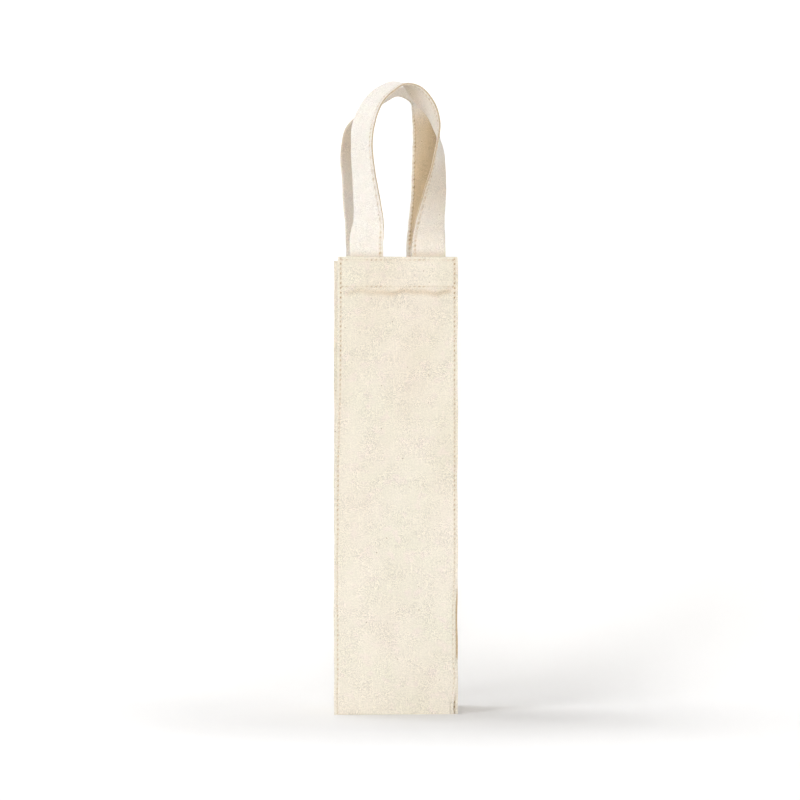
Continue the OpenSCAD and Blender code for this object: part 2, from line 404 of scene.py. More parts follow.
def new_group(name, inputs, outputs):
    """A node group with named number sockets, and its two end nodes."""
    group = bpy.data.node_groups.new(name, "ShaderNodeTree")
    for socket, kind in inputs:
        group.interface.new_socket(name=socket, in_out="INPUT", socket_type=kind)
    for socket in outputs:
        group.interface.new_socket(name=socket, in_out="OUTPUT", socket_type="NodeSocketFloat")
    return group, group.nodes.new("NodeGroupInput"), group.nodes.new("NodeGroupOutput")


def weave_group():
    """Plain weave on flat places in metres. Each crossing is a small hump, long along the yarn on top, and a
    little lighter or darker than the next by lot. Yarns wander, thicken into slubs here and there, and hold
    dark seed flecks."""
    group, start, end = new_group(
        "plain_weave", [("Flat", "NodeSocketVector"), ("Yarns per metre", "NodeSocketFloat")],
        ["Height", "Slub", "Fleck", "Mottle", "Blush", "Grain"])
    do = functools.partial(calc, group)
    flat = start.outputs["Flat"]
    wander = noise(group, flat, 160.0, 1.0)
    parts = wire(group, "SeparateXYZ", {0: flat})
    u = do("MULTIPLY_ADD", parts.outputs[0], start.outputs[1], do("MULTIPLY", wander, 0.9))
    v = do("MULTIPLY_ADD", parts.outputs[1], start.outputs[1], do("MULTIPLY", wander, -0.9))
    fu = do("MULTIPLY_ADD", do("FRACT", u), 2.0, -1.0)
    fv = do("MULTIPLY_ADD", do("FRACT", v), 2.0, -1.0)
    even = do("MODULO", do("ADD", do("FLOOR", u), do("FLOOR", v)), 2.0)
    even = do("GREATER_THAN", do("ABSOLUTE", even), 0.5)
    uu, vv = do("MULTIPLY", fu, fu), do("MULTIPLY", fv, fv)
    across = wire(group, "Mix", {0: even, 2: uu, 3: vv}, data_type="FLOAT").outputs[0]
    along = wire(group, "Mix", {0: even, 2: vv, 3: uu}, data_type="FLOAT").outputs[0]
    arch = do("SQRT", do("SUBTRACT", 1.02, across))
    hump = do("MULTIPLY", arch, do("MULTIPLY_ADD", along, -0.45, 1.0))

    def streak(long_scale, short_scale, low, high):
        """Noise drawn out along one direction of the cloth."""
        placed = wire(group, "Mapping", {"Vector": flat, "Scale": (long_scale, short_scale, 1.0)})
        return ramp(group, noise(group, placed.outputs[0], 1.0, 2.5, 0.55), low, high)

    up = streak(900.0, 70.0, 0.52, 0.74)
    cross = streak(110.0, 900.0, 0.54, 0.76)
    slub = do("MAXIMUM", up, cross)
    height = do("MULTIPLY_ADD", slub, 0.35, hump)

    cells = wire(group, "TexVoronoi", {"Vector": flat, "Scale": 230.0})
    pick = wire(group, "SeparateColor", {0: cells.outputs["Color"]})
    chosen = do("GREATER_THAN", pick.outputs[0], 0.66)
    size = do("MULTIPLY_ADD", pick.outputs[1], 0.06, 0.05)
    spot = ramp(group, do("DIVIDE", cells.outputs["Distance"], size), 1.6, 0.7)
    fleck = do("MULTIPLY", do("MULTIPLY", chosen, spot), pick.outputs[2])
    crossing = wire(group, "CombineXYZ", {0: do("FLOOR", u), 1: do("FLOOR", v)})
    lot = wire(group, "TexWhiteNoise", {"Vector": crossing.outputs[0]}).outputs["Value"]
    lint = ramp(group, noise(group, flat, 1500.0, 2.0, 0.7), 0.30, 0.70)
    own_tone = do("MULTIPLY", do("MULTIPLY_ADD", lot, 1.1, -0.55), hump)
    grain = do("ADD", own_tone, do("MULTIPLY_ADD", lint, 0.6, -0.3))
    rough = do("MULTIPLY_ADD", ramp(group, noise(group, flat, 65.0), 0.35, 0.65), 0.75, 0.45)
    feed(group, end, {
        "Height": height, "Slub": slub, "Fleck": fleck, "Mottle": noise(group, flat, 22.0, 3.0, 0.55),
        "Blush": noise(group, flat, 95.0), "Grain": do("MULTIPLY", grain, rough),
    })
    return group


WEAVE = weave_group()


# Colours: dark brown of painted deep shade and needle holes, seeds, the thread's two tones, and the
# painted shade of its hollows and of its ends. Then yarns per metre of canvas.
SHADE_DEEP_BROWN, SEED_BROWN = (0.20, 0.13, 0.075, 1), (0.30, 0.19, 0.10, 1)
THREAD_DULL, THREAD_PALE = (0.84, 0.77, 0.64, 1), (0.90, 0.84, 0.73, 1)
THREAD_HOLLOW_SHADE, THREAD_END_SHADE = (0.52, 0.42, 0.28, 1), (0.45, 0.33, 0.19, 1)
WHITE = (1, 1, 1, 1)
YARNS = 1250.0


def mixed(tree, share, a, b, kind="MIX"):
    """Two colours mixed, as sockets or values."""
    node = wire(tree, "Mix", {0: share, 6: a, 7: b}, data_type="RGBA", blend_type=kind)
    node.clamp_factor = True
    return node.outputs[2]


def new_material(name):
    """A new material, its node tree and its Principled shader."""
    made = bpy.data.materials.new(name)
    made.use_nodes = True
    return made, made.node_tree, made.node_tree.nodes["Principled BSDF"]


def canvas(name, warm, cool, blush, tan, grain, bleed):
    """Undyed canvas: cream that drifts between three tones, tan to dark brown and darker where the shade
    attribute paints shade, lighter on slubs and thick yarns, with seed flecks. The weave's height lightens
    the yarn tops against painted shade in the gaps between them, and its grain raises it too."""
    made, tree, shader = new_material(name)
    do = functools.partial(calc, tree)
    flat = wire(tree, "UVMap", uv_map="flat").outputs[0]
    weave = wire(tree, "Group", {"Flat": flat, "Yarns per metre": YARNS}, node_tree=WEAVE).outputs
    shade = wire(tree, "Attribute", attribute_name="shade").outputs["Fac"]
    base = mixed(tree, ramp(tree, weave["Mottle"], 0.3, 0.7), warm, cool)
    base = mixed(tree, ramp(tree, weave["Blush"], 0.52, 0.72), base, blush)
    # Painted shade from the shade attribute: towards tan, past 1 towards dark brown, and a little darker
    base = mixed(tree, ramp(tree, shade, -0.15, 1.15), base, tan)
    base = mixed(tree, do("SUBTRACT", shade, 1.0), base, SHADE_DEEP_BROWN)
    light = do("MULTIPLY_ADD", weave["Slub"], 0.03, 0.905)
    # The weave's height lightens the yarn tops and leaves painted shade in the gaps between yarns, more where
    # the painted shade is
    relit = do("MULTIPLY_ADD", shade, 0.10, 0.15)
    light = do("MULTIPLY_ADD", weave["Height"], relit, light)
    light = do("MULTIPLY_ADD", shade, -0.12, light)
    light = do("MULTIPLY_ADD", weave["Grain"], grain, light)
    bright = wire(tree, "CombineColor", {0: light, 1: light, 2: light}).outputs[0]
    base = mixed(tree, 1.0, base, bright, "MULTIPLY")
    base = mixed(tree, do("MULTIPLY", weave["Fleck"], 0.75), base, SEED_BROWN)
    relief = do("MULTIPLY_ADD", weave["Grain"], 1.6, weave["Height"])
    raised = wire(tree, "Bump", {"Height": relief, "Distance": 0.00016, "Strength": 0.8})
    feed(tree, shader, {
        "Base Color": base, "Roughness": do("MULTIPLY_ADD", weave["Slub"], -0.06, 0.93),
        "Normal": raised.outputs[0], "Subsurface Weight": bleed, "Subsurface Radius": (1.0, 0.6, 0.3),
        "Subsurface Scale": 0.0016, "Sheen Weight": 0.12, "Sheen Roughness": 0.5, "Specular IOR Level": 0.25,
    })
    return made


def thread_material():
    """Spun cotton thread: its twist is a slanting sine wave round and along each stitch, with painted shade
    in the hollows, on two tones that drift, and darker still with the painted shade at each stitch's ends."""
    made, tree, shader = new_material("cotton_thread")
    do = functools.partial(calc, tree)
    flat = wire(tree, "UVMap", uv_map="flat").outputs[0]
    parts = wire(tree, "SeparateXYZ", {0: flat})
    slant = do("MULTIPLY_ADD", parts.outputs[0], 12000.0, do("MULTIPLY", parts.outputs[1], 9000.0))
    twist = do("MULTIPLY_ADD", do("SINE", slant), 0.5, 0.5)
    mottle = noise(tree, wire(tree, "TexCoord").outputs["Object"], 300.0)
    shade = wire(tree, "Attribute", attribute_name="shade").outputs["Fac"]
    base = mixed(tree, mottle, THREAD_DULL, THREAD_PALE)
    # Painted shade in the twist's hollows and, from the shade attribute, at each stitch's ends
    base = mixed(tree, do("MULTIPLY_ADD", twist, -0.22, 0.22), base, THREAD_HOLLOW_SHADE)
    base = mixed(tree, shade, base, THREAD_END_SHADE)
    rough = do("MULTIPLY_ADD", mottle, 0.2, 0.6)
    raised = wire(tree, "Bump", {"Height": twist, "Distance": 0.00008, "Strength": 0.6})
    feed(tree, shader, {"Base Color": base, "Roughness": rough, "Normal": raised.outputs[0]})
    return made


CANVAS = canvas(
    "natural_canvas", warm=(0.884, 0.822, 0.72, 1), cool=(0.858, 0.82, 0.70, 1),
    blush=(0.889, 0.812, 0.728, 1), tan=(0.60, 0.45, 0.28, 1), grain=0.37, bleed=0.0)
STRAP_CANVAS = canvas(
    "strap_canvas", warm=(0.92, 0.88, 0.82, 1), cool=(0.905, 0.872, 0.80, 1),
    blush=(0.925, 0.868, 0.815, 1), tan=(0.62, 0.475, 0.30, 1), grain=0.26, bleed=0.22)
THREAD = thread_material()


# Pieces of cloth


def sheet(name, *grids):
    """A piece of the body's canvas: one closed sheet for each grid."""
    piece = Cloth()
    for grid in grids:
        piece.shell(*grid)
    return piece.build(name, CANVAS)


def holes(along, across):
    """How dark the cloth is at the needle holes of a row: a sharp cosine along it and a bell across it, some
    deeper than others."""
    uneven = 0.9 + 0.18 * np.sin(along * 0.71) + 0.18 * np.sin(along * 0.29 + 2)
    return uneven * needle(along) ** 4 * bump(across, 0.55)


def panel(back):
    """A panel: up along its face, over the top and down inside as the hem. The front one's right edge is a
    little short near the base, with a lifted corner, as the photograph shows. Painted shade browns it towards
    the top and in soft waves, along each row and at its needle holes, under the hem and at its foot."""
    turn = BACK_PHASE if back else 0.0
    fine = 0.62
    u = marks(-WIDTH / 2, WIDTH / 2, 1.9, [(-49.4, -44.5, fine), (44.5, 49.4, fine)])
    v = marks(0.0, HEM_CUT, 1.35, [(HEM_LOW - 9.5, HEM_LOW + 5.5, fine), (HEIGHT - 7, TURN_IN, fine),
                                  (TURN_IN + 0.05, TURN_IN + HALF_ROUND, 0.16)])
    x, flat_v = crossed(u, v)
    z, step = hem_path(flat_v)
    turned_in = smooth((flat_v - TURN_IN) / 1.2)
    px = x * (1 - 0.08 * turned_in)
    lay, lift = px, 0.0
    if not back:
        short = 1.7 * smooth((z - 30) / 16) * smooth((122 - z) / 36) + 3.6 * bump(z - 5, 17)
        at_edge = smooth((px - LIFT_FROM) / 6)
        lay = px - short * at_edge + spread(px, z)
        lift = -1.3 * bump(z - 7, 9) * at_edge
    mid = lie(turned(joined(lay, PANEL_MID + step + lift, z), back))
    draw = pinch(px, z) * (1 - turned_in)
    mid[..., 1] += draw if back else -draw
    # Painted shade: darker towards the top and in soft waves, along the rows and at their needle holes, under
    # the hem and at the foot
    painted_shade = 0.15 * smooth((z - 60) / 280)
    painted_shade += 0.03 * np.sin(px / 17 + z / 41 + turn) + 0.03 * np.sin(px / 9 - z / 23)
    strong = 1 + 0.7 * smooth((z - HEM_LOW + 12.5) / 10)
    for side in HANDS:
        row = np.abs(px - side * ROW_X)
        painted_shade += strong * (1.15 * holes(z, row) + 0.14 * bump(row, 0.9))
    for level in HEM_ROWS:
        painted_shade += 0.95 * holes(px, z - level) * (np.abs(px) < ROW_X)
    wavy = HEM_LOW - 2.0 + 0.8 * np.sin(px / 6.3 + turn) + 0.5 * np.sin(px / 2.9)
    deep = 0.26 + 0.14 * smooth((px + 22) / 20)
    painted_shade += deep * bump(z - wavy, 2.6) * (1 - turned_in) * smooth((GUSSET_X - np.abs(px)) / 4)
    painted_shade += 0.10 * smooth((3 - z) / 3)
    flat = joined(x + 60, flat_v) * MM
    return sheet(HALVES[back] + "_panel_cloth", (mid, rounded(u, v), flat, (np.clip(painted_shade, 0, 2), 0.25)))


def corner_marks(straight, step):
    """Marks on a strip that goes straight behind a panel, round a corner and in to the fold line."""
    bend = np.pi / 2 * CORNER
    end = straight + bend + FOLD_Y - MARGIN_MID - CORNER
    return marks(0.0, end, step, [(straight, straight + bend, 0.25)])


def cornered(run, straight):
    """How far along the panel, and how deep behind it, such a strip is at distance run on it."""
    a = np.clip((run - straight) / CORNER, 0, np.pi / 2)
    past = np.clip(run - straight - np.pi / 2 * CORNER, 0, None)
    return np.minimum(run, straight) + CORNER * np.sin(a), MARGIN_MID + CORNER * (1 - np.cos(a)) + past


def margin(side, back):
    """A gusset's margin: along the ridge behind the panel, round a corner and back to the fold line, with the
    turned-in hem as a second strip inside it. The one that shows beside the front panel has painted shade
    there, and a painted shadow in the gap at its foot."""
    ridge_run = WIDTH / 2 - GUSSET_MID - CORNER
    u = corner_marks(ridge_run, 0.75)
    v = marks(0.0, HEIGHT, 2.5)
    run, z = crossed(u, v)
    along, py = cornered(run, ridge_run)
    px = along - WIDTH / 2
    if side < 0 and not back:
        px += spread(px, z) * smooth(1 - run / ridge_run)
    mid = joined(px, py, z)
    strip_u = marks(MARGIN_MID + 1.2 * CLOTH, FOLD_Y, 0.6)
    strip_v = marks(HEM_LOW, HEIGHT, 2.5)
    sy, sz = crossed(strip_u, strip_v)
    strip = joined(CLOTH - GUSSET_MID, sy, sz)
    if (-side if back else side) > 0:
        mid, strip = (g[::-1] * np.array([-1.0, 1.0, 1.0]) for g in (mid, strip))
        run, sy = run[::-1], sy[::-1]
    # Painted shade: a brown strip where the front's right margin shows beside the panel, and a painted shadow
    # in the gap at its foot
    painted_margin_shade = np.full_like(run, 0.04)
    if side > 0 and not back:
        painted_margin_shade += 0.95 * smooth((z - 44) / 5) * smooth((116 - z) / 22)
        painted_margin_shade += 1.5 * bump(z - 8, 7) * smooth((run - 1.9) / 0.7)
    return sheet(
        f"{HANDS[side]}_{HALVES[back]}_margin_cloth",
        (lie(turned(mid, back)), rounded(u, v), joined(run + 20, z) * MM, (painted_margin_shade, painted_margin_shade + 0.04)),
        (lie(turned(strip, back)), rounded(strip_u, strip_v), joined(sy + 80, sz) * MM, (0.04, 0.08)))


def gusset(side):
    """A gusset between its two fold lines: a strip with its top turned in, rolled round each fold line, drawn
    in at its hem's rows and puffed out between them, with painted shade at its crease, under the hem and at
    its needle holes."""
    u = rolled_marks(2.4, 4)
    v = marks(CLOTH / 2, HEM_CUT, 2.0, [(HEM_LOW - 0.5, HEM_LOW + 5.5, 0.7), (HEIGHT - 7, TURN_IN, 0.7),
                                        (TURN_IN + 0.05, TURN_IN + HALF_ROUND, 0.2)])
    run, flat_v = crossed(u, v)
    z, step = hem_path(flat_v)
    py, in_step, bent = rolled(run)
    px = GUSSET_MID - in_step - step * np.cos(bent)
    draw = 0.0
    for level in HEM_ROWS:
        sewn = np.abs(py) > CREASE_MARGIN
        draw += (GUSSET_DRAW * bump(z - level, 1.3) + 0.16 * holes(py, z - level)) * sewn
    draw = draw * (1 - smooth((flat_v - TURN_IN) / 1.2))
    between_rows = smooth((z - HEM_ROWS[1]) / 5) * smooth((HEM_ROWS[0] - z) / 4)
    px = px - draw + 0.35 * between_rows * smooth(bent * -9 + 1)
    mid = joined(side * px, py, z)
    flat_u = run
    if side < 0:
        mid, flat_u = mid[::-1], run[::-1]
    mid = lie(mid)
    # Painted shade at the crease, under the hem and at the rows' needle holes
    crease = bump(mid[..., 1], 1.0)
    painted_shade = 0.10 + 0.22 * crease + 0.12 * bump(z - HEM_LOW + 1.5, 2.0)
    for level in HEM_ROWS:
        painted_shade += 1.2 * holes(mid[..., 1], z - level) * (np.abs(mid[..., 1]) > CREASE_MARGIN)
    flat = joined(flat_u + 20, flat_v) * MM
    half = rounded(u, v) * np.where(bent > 0, ROLL_THIN, 1.0)
    return sheet(HANDS[side] + "_gusset_cloth", (mid, half, flat, (np.clip(painted_shade, 0, 2), 0.25)))


def base_half_width(y):
    """Half the base's width at each depth, as the frame's but for a last millimetre: it narrows at the fold's
    angle from the fold lines, and is even near the middle crease."""
    a = math.radians(FOLD_ANGLE)
    run = np.clip(np.abs(FOLD_Y) - np.abs(y), 0, None)
    reach = np.minimum(run + CLOTH * math.tan(a), 1.3 - FOLD_Y)
    return FOLD_X + CLOTH * math.cos(a) - CLEARANCE - reach * math.sin(a)


def base():
    """The base between its fold lines, narrower to the middle crease, rolled up round each fold line, with
    painted shade at its crease."""
    v = rolled_marks(2.0, 3)
    s = np.linspace(-1, 1, 47)
    share, run = crossed(s, v)
    py, up_step, bent = rolled(run)
    px = share * base_half_width(np.clip(run, 0, -2 * FOLD_Y) + FOLD_Y)
    mid = lie(joined(px, py, CLOTH / 2 + up_step))[:, ::-1]
    flat = (joined(px + 60, run + 5) * MM)[:, ::-1]
    half = rounded(s * 40, v) * np.where(bent > 0, ROLL_THIN, 1.0)
    # Painted shade at the middle crease
    painted_shade = (0.12 + 0.22 * bump(py, 1.0))[:, ::-1]
    return sheet("base_cloth", (mid, half[:, ::-1], flat, (painted_shade, 0.3)))


def gore(side):
    """One side of the base, between the gusset and the base's slanting edge: flat, with a last S that lifts
    it just over that edge."""
    v = marks(FOLD_Y, -FOLD_Y, 1.6)
    s = np.linspace(0, 1, 21)
    share, py = crossed(s, v)
    inner = base_half_width(py) - 0.9
    px = GUSSET_X - share * (GUSSET_X - inner)
    pz = CLOTH / 2 + 0.05 + 0.5 * CLOTH * smooth((share - 1) * (GUSSET_X - inner) / 1.5 + 1)
    mid = lie(joined(side * px, py, pz))
    flat = joined(px + 120, py + 50) * MM
    half = rounded(s * 30, v)
    if side < 0:
        mid, flat, half = mid[::-1], flat[::-1], half[::-1]
    return sheet(HANDS[side] + "_gore_cloth", (mid, half, flat, (0.3, 0.15)))


def allowance(back):
    """The base's allowance: down behind the panel, round a corner and in to the fold line."""
    down = ALLOWANCE - CLOTH / 2 - CORNER
    u = corner_marks(down, 0.9)
    v = marks(-GUSSET_MID + CLOTH, GUSSET_MID - CLOTH, 3.0)
    run, x = crossed(u, v)
    along, py = cornered(run, down)
    mid = lie(turned(joined(x, py, ALLOWANCE - along), back))
    flat = joined(x + 60, run) * MM
    return sheet(HALVES[back] + "_base_allowance_cloth", (mid, rounded(u, v), flat, (0.2, 0.3)))


# Handles


# A strap's stitch pitch, the points between two rows of its route and in each tail, its half sizes, its row
# of stitches, the radius of a lip at its open edge, the share of its half thickness by which the row sinks
# in, and the rise of a loop's middle line over its bend
STRAP_PITCH, STRAP_STEPS, TAIL_RINGS = 3.6, 9, 16
EDGE, HALF_STRAP = STRAP_WIDTH / 2, STRAP_THICK / 2
STRAP_ROW, LIP, SINK = EDGE - 2.4, 0.5, 0.24
LOOP_RISE = RISE - BEND_RISE - FOLD_GAP / 2 - HALF_STRAP


def strap_line(back):
    """Middle of a handle from one tail's end to the other's, with its twist: two straight tails and, between
    them, the smooth curve through the route's rows, the same as the frame's."""
    route = BACK_ROUTE if back else FRONT_ROUTE
    rows = np.concatenate([[2 * route[0] - route[1]], route, [2 * route[-1] - route[-2]]])
    a, b, c, d = (rows[k:k + len(route) - 1, None] for k in range(4))
    t = np.linspace(0, 1, STRAP_STEPS, endpoint=False)[None, :, None]
    curve = b + (c - a) * t / 2
    curve = curve + (2 * a - 5 * b + 4 * c - d) * t ** 2 / 2 + (3 * b - a - 3 * c + d) * t ** 3 / 2
    p = np.concatenate([curve.reshape(-1, 3), route[-1:]])
    up = p[:, 1] * LOOP_RISE
    loop = joined(p[:, 0] * LEG_SPACING / 2, STRAP_MID - up * math.tan(math.radians(LEAN)),
                  BEND + FOLD_GAP / 2 + up)
    tail_z = np.linspace(HEIGHT - TAIL, BEND - 1.2, TAIL_RINGS)
    left, right = (joined(leg * LEG_SPACING / 2, STRAP_MID, tail_z) for leg in HANDS)
    twist = np.concatenate([0 * tail_z, p[:, 2], 0 * tail_z]) * np.pi / 2
    return np.concatenate([left, loop, right[::-1]]), twist


def strap_frame(back):
    """A strap's line, the way ahead, the way its outer face looks and the way across, at each point of it."""
    line, twist = strap_line(back)
    ahead = np.gradient(line, axis=0)
    ahead[:TAIL_RINGS] = (0, 0, 1)
    ahead[-TAIL_RINGS:] = (0, 0, -1)
    ahead /= np.linalg.norm(ahead, axis=1, keepdims=True)
    inward = np.array([0.0, 1.0, 0.0]) - ahead[:, 1:2] * ahead
    inward /= np.linalg.norm(inward, axis=1, keepdims=True)
    aside = np.cross(ahead, inward)
    face = np.sin(twist)[:, None] * aside - np.cos(twist)[:, None] * inward
    return line, ahead, face, np.cross(ahead, face)


def length_along(points):
    """Length along a line at each of its points."""
    return np.concatenate([[0], np.cumsum(np.linalg.norm(np.diff(points, axis=0), axis=1))])


def loose(run, total, start, over):
    """0 near a strap's two sewn ends, 1 further along than start and over."""
    return smooth((run - start) / over) * smooth((total - start - run) / over)


def camber(run, total, across, back):
    """How far a strap bows out of its flat section, to one side and the other along its loop."""
    bow = 0.35 * np.sin(run / 23.0 + (1.4 if back else 0.2))
    return bow * (1 - (across / EDGE) ** 2) * loose(run, total, 40, 30)


def strap_section():
    """The strap in section, in order: its outer face from the folded edge to the open one, the lip there, the
    groove between the two lips, the other lip and the inner face back."""
    fold = np.radians([170, 145, 118])
    folded = joined(-EDGE + HALF_STRAP + HALF_STRAP * np.cos(fold), HALF_STRAP * np.sin(fold))
    flat = np.linspace(-EDGE + HALF_STRAP, EDGE - 0.55, 24)
    puff = HALF_STRAP * (1 - SINK * bump(flat - STRAP_ROW, 1.1) - 0.05 * bump(flat, 9))
    a = np.radians([60, 25, -15, -55])
    lip = joined(EDGE - LIP + LIP * np.cos(a), LIP + LIP * np.sin(a))
    outer = np.concatenate([folded, joined(flat, puff), lip, [[EDGE - 0.8, 0.05]]])
    return np.concatenate([outer, outer[::-1] * (1, -1)])


def handle(back):
    """A handle: the section carried along the line, turned by the twist, in one piece from tail to tail. Its
    two edges wander a little. Painted shade browns its inner face where it hangs in the bag's and its own
    shadow, and the front one's outer face on its right leg, and darkens its row, its needle holes, the groove
    at its open edge and, as a painted contact shadow, the places where it leaves the hem."""
    line, _, face, across = strap_frame(back)
    section = strap_section()
    run = length_along(line)[:, None]
    total = run[-1, 0]
    at = section[None, :, 0]
    rise = section[None, :, 1]
    outer = np.sign(rise)
    pierced = (0.5 + 0.5 * np.cos(2 * np.pi * run / STRAP_PITCH)) ** 3
    lift = rise + camber(run, total, at, back) - outer * 0.15 * pierced * bump(at - STRAP_ROW, 0.8)
    edge_wave = 0.12 * np.sin(run / 5.3 + 2 * back) + 0.10 * np.sin(run / 2.1)
    at_now = at + edge_wave * smooth((np.abs(at) - EDGE + 3) / 3) * np.sign(at) * loose(run, total, 28, 10)
    rings = line[:, None, :] + at_now[..., None] * across[:, None, :] + lift[..., None] * face[:, None, :]
    rings = lie(turned(rings, back))
    flat = joined(length_along(section)[None, :] + 10, run + 20) * MM
    share = run / total
    # Painted shade on the inner face where it hangs in shadow: dark tan on the back handle's one leg and the
    # top of the other, tan under the front handle's top; and on the outer face of the front handle's right
    # leg
    if back:
        painted_inner_shade = 1.05 - 0.81 * smooth((share - 0.36) / 0.09)
        painted_inner_shade = painted_inner_shade + 0.30 * bump(share - 0.665, 0.07) - 0.02 * smooth((share - 0.72) / 0.1)
        painted_shade_patches = 0.10 * np.sin(run / 13.0 + at / 6.0) - 0.20 * at / EDGE
        painted_inner_shade = painted_inner_shade + painted_shade_patches * smooth((0.42 - share) / 0.05)
        painted_outer_shade = 0.0
    else:
        painted_inner_shade = 0.26 + 0.34 * bump(share - 0.50, 0.07) + 0.06 * np.sin(run / 9.0 + at / 5.0)
        painted_outer_shade = 0.42 * (bump(share - 0.77, 0.10) + 0.35 * smooth((share - 0.84) / 0.05))
    edge_side = smooth((at - STRAP_ROW - 0.2) / 0.7)
    shade = 0.02 + painted_inner_shade * (outer < 0) * loose(run, total, 26, 14) * (1 - 0.75 * edge_side)
    shade += painted_outer_shade * (outer > 0)
    # Painted shade along the row and at its needle holes, in the groove at the open edge, and a painted
    # contact shadow where the strap leaves the hem
    uneven = 0.8 + 0.2 * np.sin(run * 0.83) + 0.2 * np.sin(run * 0.31)
    shade += (1.35 * uneven * pierced + 0.26) * bump(at - STRAP_ROW, 0.6)
    groove = (np.abs(rise) < 0.12) * (at > 0)
    shade += 0.9 * groove + 0.5 * smooth((at - EDGE + 0.3) / 0.2)
    over_hem = TAIL + 1.2
    shade += 0.30 * (bump(run - over_hem, 2.8) + bump(total - over_hem - run, 2.8))
    piece = Cloth()
    piece.tube(rings, flat, np.clip(shade, 0, 2))
    return piece.build(HALVES[back] + "_strap", STRAP_CANVAS)


# Thread


# Radius of the thread in the body and in the straps, and a stitch's length as a share of its pitch
STITCH_RADIUS, STRAP_STITCH_RADIUS, STITCH_SHARE = 0.27, 0.24, 0.74


def stitch_rows(name, rows, radius=STITCH_RADIUS):
    """Rows of stitches, each a small tube that arches out of the cloth and dips into it at both ends, with
    painted shade there. A row is the middles of its stitches, the way along, the way out of the cloth, and
    the pitch, of which a stitch takes up its share."""
    sides, steps = 6, 7
    s = np.linspace(-1, 1, steps)
    turn = np.linspace(0, 2 * np.pi, sides, endpoint=False)
    piece = Cloth()
    centres, ahead, out, pitch = (np.concatenate([r[k] for r in rows]) for k in range(4))
    n = len(centres)
    side = np.cross(ahead, out)
    slim = radius * (1 - 0.25 * s ** 6)
    arch = radius * (0.55 - 1.9 * np.abs(s) ** 3.2)
    core = (centres[:, None] + ahead[:, None] * (s * STITCH_SHARE / 2)[None, :, None] * pitch[:, None, None]
            + out[:, None] * arch[None, :, None])
    ring = (core[:, :, None] + slim[None, :, None, None] * (
        np.cos(turn)[None, None, :, None] * side[:, None, None]
        + np.sin(turn)[None, None, :, None] * out[:, None, None]))
    ids = np.arange(steps * sides).reshape(steps, sides)
    tube = quads(ids, np.roll(ids, -1, axis=1))
    first, last = ids[0], ids[-1]
    caps = np.array([first[[0, 1, 2, 3]], first[[0, 3, 4, 5]], last[[3, 2, 1, 0]], last[[5, 4, 3, 0]]])
    one = np.concatenate([tube, caps])
    faces = (one[None] + (np.arange(n) * steps * sides)[:, None, None]).reshape(-1, 4)
    column, line = np.arange(n)[:, None, None] % 97, np.arange(n)[:, None, None] // 97
    flat = joined((turn * radius)[None, None, :] + column * 3.0, (s * 1.5 + 2)[None, :, None] + line * 6.0)
    # Painted shade where each stitch dips into the cloth
    painted_end_shade = np.broadcast_to((0.9 * np.abs(s) ** 4)[None, :, None], ring.shape[:3])
    piece.add(ring, faces, flat * MM, painted_end_shade)
    return piece.build(name, THREAD)


def body_row(points, ahead, out):
    """A row of stitches in the bag's body, with one way along and one way out for all."""
    n = len(points)
    return points, np.tile(ahead, (n, 1)), np.tile(out, (n, 1)), np.full(n, PITCH)


def panel_row(start, end, back):
    """A row of stitches on a panel's outer face, upright or level, from one (x, z) up or right to another."""
    upright = start[0] == end[0]
    low, high = (start[1], end[1]) if upright else (start[0], end[0])
    middles = np.arange(math.ceil(low / PITCH) * PITCH, high - PITCH / 2, PITCH)
    middles = middles[middles > low + PITCH / 2]
    x, z = (start[0], middles) if upright else (middles, start[1])
    lay = x if back else x + spread(x, z)
    points = lie(turned(joined(lay, -DEPTH / 2, z), back))
    depth = pinch(x, z)
    points[:, 1] += depth if back else -depth
    ahead = (0.0, 0.0, 1.0) if upright else (1.0, 0.0, 0.0)
    return body_row(points, ahead, (0.0, 1.0 if back else -1.0, 0.0))


def gusset_row(side, back, level):
    """A row of stitches on a gusset's outer face, from its fold line to short of its crease."""
    middles = np.arange(2 * PITCH, -FOLD_Y - 1, PITCH)
    points = lie(joined(side * GUSSET_X, middles if back else -middles, level))
    points[:, 0] -= side * GUSSET_DRAW
    return body_row(points, (0.0, 1.0, 0.0), (float(side), 0.0, 0.0))


def strap_row(back):
    """The strap's row of stitches beside its open edge, on both faces, spaced evenly along its line."""
    line, ahead, face, across = strap_frame(back)
    run = length_along(line)
    at = np.arange(1.5 * STRAP_PITCH, run[-1] - STRAP_PITCH, STRAP_PITCH)

    def on(values):
        """Values along the line, read off at each stitch."""
        return np.stack([np.interp(at, run, values[:, k]) for k in range(3)], -1)

    bow = camber(at, run[-1], STRAP_ROW, back)
    pitch = np.full(len(at), STRAP_PITCH)
    rows = []
    for sign in (1, -1):
        lift = bow + sign * HALF_STRAP * (1 - SINK)
        points = lie(turned(on(line) + STRAP_ROW * on(across) + lift[:, None] * on(face), back))
        rows.append((points, turned(on(ahead), back), sign * turned(on(face), back), pitch))
    return rows


def half_rows(back):
    """The rows of one panel: two upright ones by the ridges and two along the hem."""
    edge = [panel_row((side * ROW_X, 1.0), (side * ROW_X, HEIGHT - INSET), back) for side in HANDS]
    hem = [panel_row((-ROW_X + 1, level), (ROW_X - 1, level), back) for level in HEM_ROWS]
    return edge, hem


# Putting the pieces on the frame


def place(piece, slot, body, *nodes):
    """A piece on its body, with the nodes that it stands for hidden. Its slot, the record's finish, is not
    used.
    """
    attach(piece, body)
    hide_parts(*nodes)
    return piece


